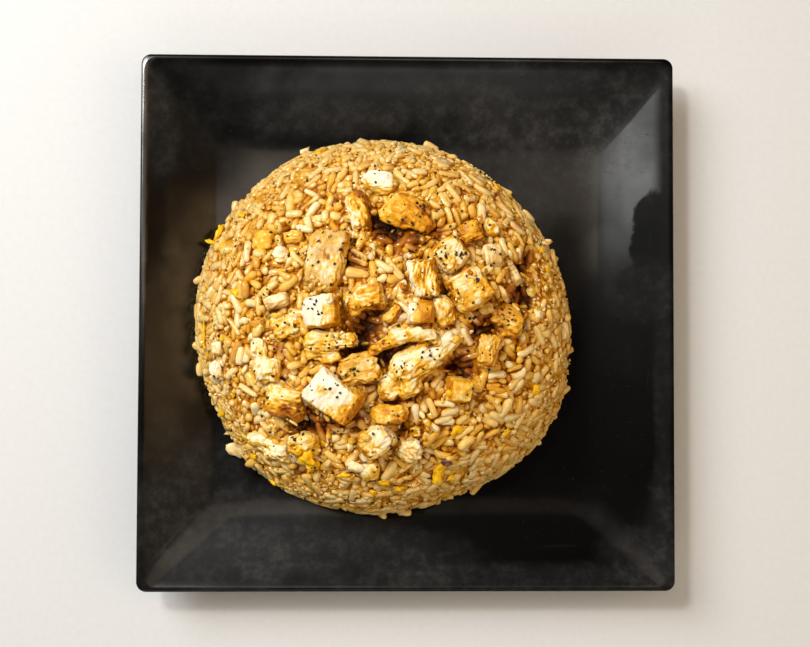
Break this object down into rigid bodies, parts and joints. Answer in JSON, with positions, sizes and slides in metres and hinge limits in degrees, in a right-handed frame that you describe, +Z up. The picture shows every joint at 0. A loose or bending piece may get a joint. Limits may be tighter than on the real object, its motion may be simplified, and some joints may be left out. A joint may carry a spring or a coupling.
{
  "type": "fried rice plate",
  "caption": "Moulded heap of fried rice topped with diced browned chicken, egg and onion, on a square black coupe plate.",
  "frame": {"origin": "on the table, under the middle of the plate's square foot", "axes": "+Z up; X and Y along the plate's sides, the heap's middle lying 12 mm towards -X"},
  "size_m": [0.254, 0.254, 0.0676],
  "materials": {
    "plate": "matte black, lightly scratched and dusty",
    "rice": "moist, slightly glossy",
    "chicken": "moist, browned at the faces",
    "egg": "soft, slightly glossy",
    "onion": "translucent, glossy"
  },
  "bodies": {
    "root": {"plate": "plate", "rice": "rice", "chicken_01": "chicken", "chicken_02": "chicken", "chicken_03": "chicken", "chicken_04": "chicken", "chicken_05": "chicken", "chicken_06": "chicken", "chicken_07": "chicken", "chicken_08": "chicken", "chicken_09": "chicken", "chicken_10": "chicken", "chicken_11": "chicken", "chicken_12": "chicken", "chicken_13": "chicken", "chicken_14": "chicken", "chicken_15": "chicken", "chicken_16": "chicken", "chicken_17": "chicken", "chicken_18": "chicken", "chicken_19": "chicken", "chicken_20": "chicken", "chicken_21": "chicken", "chicken_22": "chicken", "chicken_23": "chicken", "chicken_24": "chicken", "chicken_25": "chicken", "chicken_26": "chicken", "chicken_27": "chicken", "chicken_28": "chicken", "chicken_29": "chicken", "chicken_30": "chicken", "chicken_31": "chicken", "chicken_32": "chicken", "chicken_33": "chicken", "chicken_34": "chicken", "chicken_35": "chicken", "egg_01": "egg", "egg_02": "egg", "egg_03": "egg", "egg_04": "egg", "onion_01": "onion", "onion_02": "onion", "onion_03": "onion", "onion_04": "onion"}
  },
  "joints": []
}
